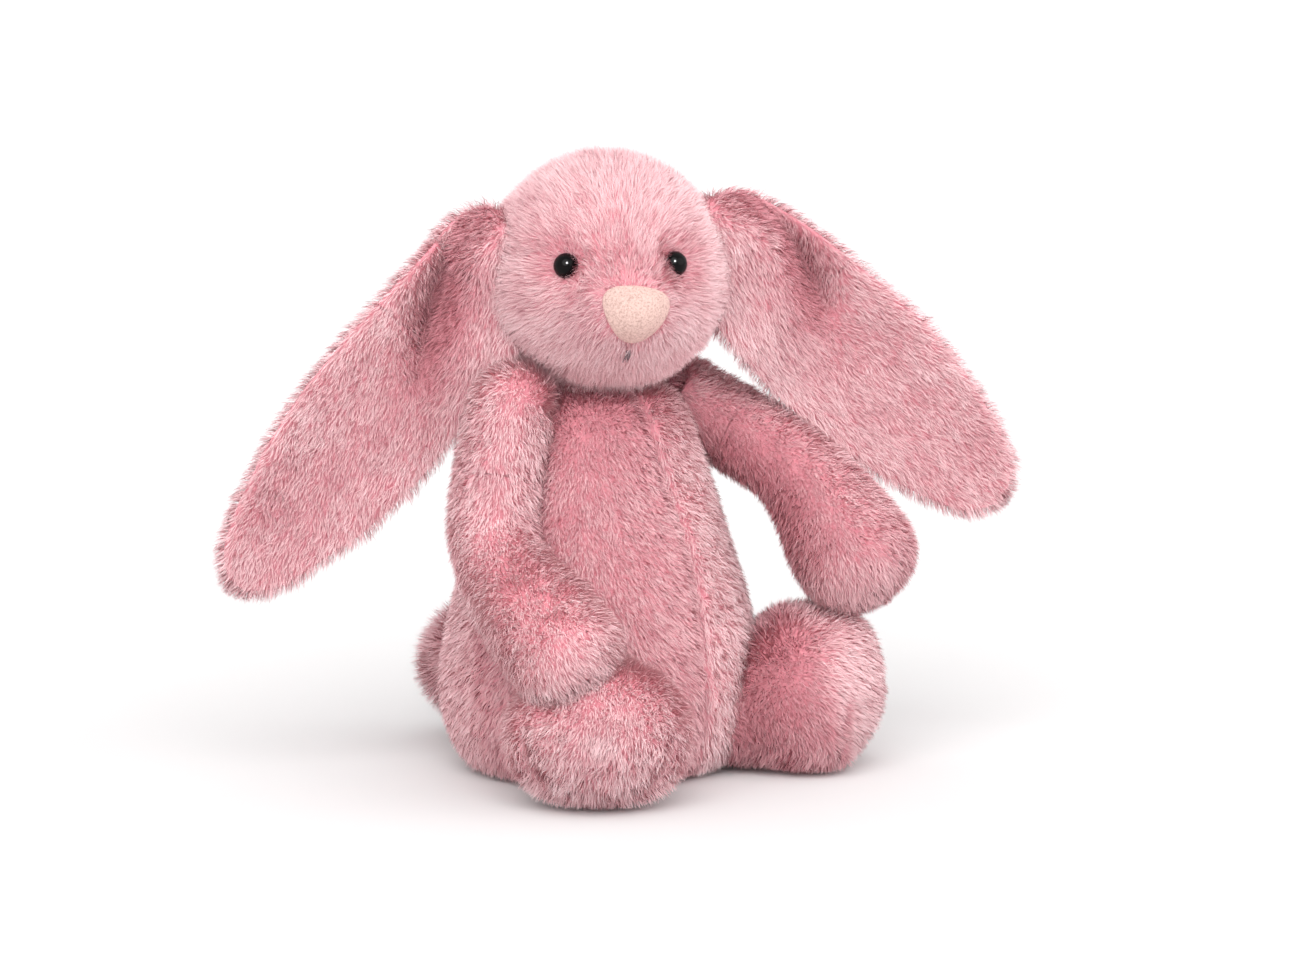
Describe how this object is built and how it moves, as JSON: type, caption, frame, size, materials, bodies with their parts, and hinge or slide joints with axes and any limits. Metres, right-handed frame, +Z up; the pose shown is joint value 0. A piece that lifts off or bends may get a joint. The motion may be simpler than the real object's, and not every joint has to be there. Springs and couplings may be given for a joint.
{
  "type": "stuffed bunny rabbit",
  "caption": "Sitting plush bunny with long lop ears, safety eyes, suede nose and soft jointed head, ears, arms and legs.",
  "frame": {"origin": "middle of the box on the plane that the bunny sits on", "axes": "+Z up; the torso faces -Y; +X is the bunny's left"},
  "size_m": [0.2412, 0.1586, 0.2075],
  "materials": {
    "plush": "long-pile plush, matte with soft sheen",
    "ear_lining": "long-pile plush, matte",
    "stuffing": "matte fibre",
    "beans": "matte pellets",
    "eye": "glossy",
    "washer": "satin",
    "nose": "suede, matte",
    "thread": "matte thread"
  },
  "bodies": {
    "torso": {"torso_front_left": "plush", "torso_front_right": "plush", "torso_back": "plush", "torso_base": "plush", "torso_stuffing": "stuffing", "seat_bean_pouch": "beans", "tail_cover_upper": "plush", "tail_cover_lower": "plush", "tail_stuffing": "stuffing"},
    "neck": {"neck_stuffing": "stuffing"},
    "head": {"head_muzzle_gusset": "plush", "head_crown_gusset": "plush", "head_side_left": "plush", "head_side_right": "plush", "head_stuffing": "stuffing", "eye_left": "eye", "eye_right": "eye", "eye_washer_left": "washer", "eye_washer_right": "washer", "nose_patch": "nose", "mouth_stitch": "thread"},
    "ear_left": {"ear_left_lining_root": "ear_lining", "ear_left_back_root": "plush"},
    "ear_left_tip": {"ear_left_lining_tip": "ear_lining", "ear_left_back_tip": "plush"},
    "upper_arm_left": {"upper_arm_left_top": "plush", "upper_arm_left_under": "plush", "upper_arm_left_stuffing": "stuffing"},
    "forearm_left": {"forearm_left_top": "plush", "forearm_left_under": "plush", "forearm_left_stuffing": "stuffing", "paw_left_beans": "beans"},
    "leg_left": {"leg_left_top": "plush", "leg_left_under": "plush", "leg_left_stuffing": "stuffing", "foot_left_beans": "beans"},
    "ear_right": {"ear_right_lining_root": "ear_lining", "ear_right_back_root": "plush"},
    "ear_right_tip": {"ear_right_lining_tip": "ear_lining", "ear_right_back_tip": "plush"},
    "upper_arm_right": {"upper_arm_right_top": "plush", "upper_arm_right_under": "plush", "upper_arm_right_stuffing": "stuffing"},
    "forearm_right": {"forearm_right_top": "plush", "forearm_right_under": "plush", "forearm_right_stuffing": "stuffing", "paw_right_beans": "beans"},
    "leg_right": {"leg_right_top": "plush", "leg_right_under": "plush", "leg_right_stuffing": "stuffing", "foot_right_beans": "beans"}
  },
  "joints": [
    {"name": "head_turn", "type": "hinge", "parent": "torso", "child": "neck", "pos_m": [-0.00775, 0.00335, 0.1344], "axis": [0, 0, 1], "range_deg": [-20, 40], "stiffness_Nm_per_rad": 0.3},
    {"name": "head_nod", "type": "hinge", "parent": "neck", "child": "head", "pos_m": [-0.00775, 0.00035, 0.136], "axis": [0.891, -0.454, 0], "range_deg": [-10, 12], "stiffness_Nm_per_rad": 1},
    {"name": "ear_left_flap", "type": "hinge", "parent": "head", "child": "ear_left", "pos_m": [0.02969, -0.01648, 0.1755], "axis": [0.0931, -0.0475, 0.9945], "range_deg": [-40, 30]},
    {"name": "ear_left_fold", "type": "hinge", "parent": "ear_left", "child": "ear_left_tip", "pos_m": [0.07576, -0.03996, 0.13134], "axis": [-0.5787, 0.2948, -0.7604], "range_deg": [-45, 60]},
    {"name": "ear_right_flap", "type": "hinge", "parent": "head", "child": "ear_right", "pos_m": [-0.04337, 0.02075, 0.1755], "axis": [0.0931, -0.0475, -0.9945], "range_deg": [-40, 30]},
    {"name": "ear_right_fold", "type": "hinge", "parent": "ear_right", "child": "ear_right_tip", "pos_m": [-0.08191, 0.04038, 0.12303], "axis": [-0.6875, 0.3503, 0.6361], "range_deg": [-45, 60]},
    {"name": "arm_left_raise", "type": "hinge", "parent": "torso", "child": "upper_arm_left", "pos_m": [0.02985, 0.00235, 0.1215], "axis": [-1, 0, 0], "range_deg": [-10, 6], "stiffness_Nm_per_rad": 0.1},
    {"name": "elbow_left_bend", "type": "hinge", "parent": "upper_arm_left", "child": "forearm_left", "pos_m": [0.04785, -0.03047, 0.10244], "axis": [-1, 0, 0], "range_deg": [-5, 35]},
    {"name": "arm_right_raise", "type": "hinge", "parent": "torso", "child": "upper_arm_right", "pos_m": [-0.04535, 0.00235, 0.1215], "axis": [-1, 0, 0], "range_deg": [0, 49], "stiffness_Nm_per_rad": 0.1},
    {"name": "elbow_right_bend", "type": "hinge", "parent": "upper_arm_right", "child": "forearm_right", "pos_m": [-0.06177, -0.00484, 0.08352], "axis": [-1, 0, 0], "range_deg": [-8, 17]},
    {"name": "leg_left_hang", "type": "hinge", "parent": "torso", "child": "leg_left", "pos_m": [0.03132, -0.02943, 0.0125], "axis": [0.6428, 0.766, 0], "range_deg": [0, 55]},
    {"name": "leg_right_hang", "type": "hinge", "parent": "torso", "child": "leg_right", "pos_m": [-0.03915, -0.03684, 0.0125], "axis": [0.788, -0.6157, 0], "range_deg": [0, 55]}
  ]
}
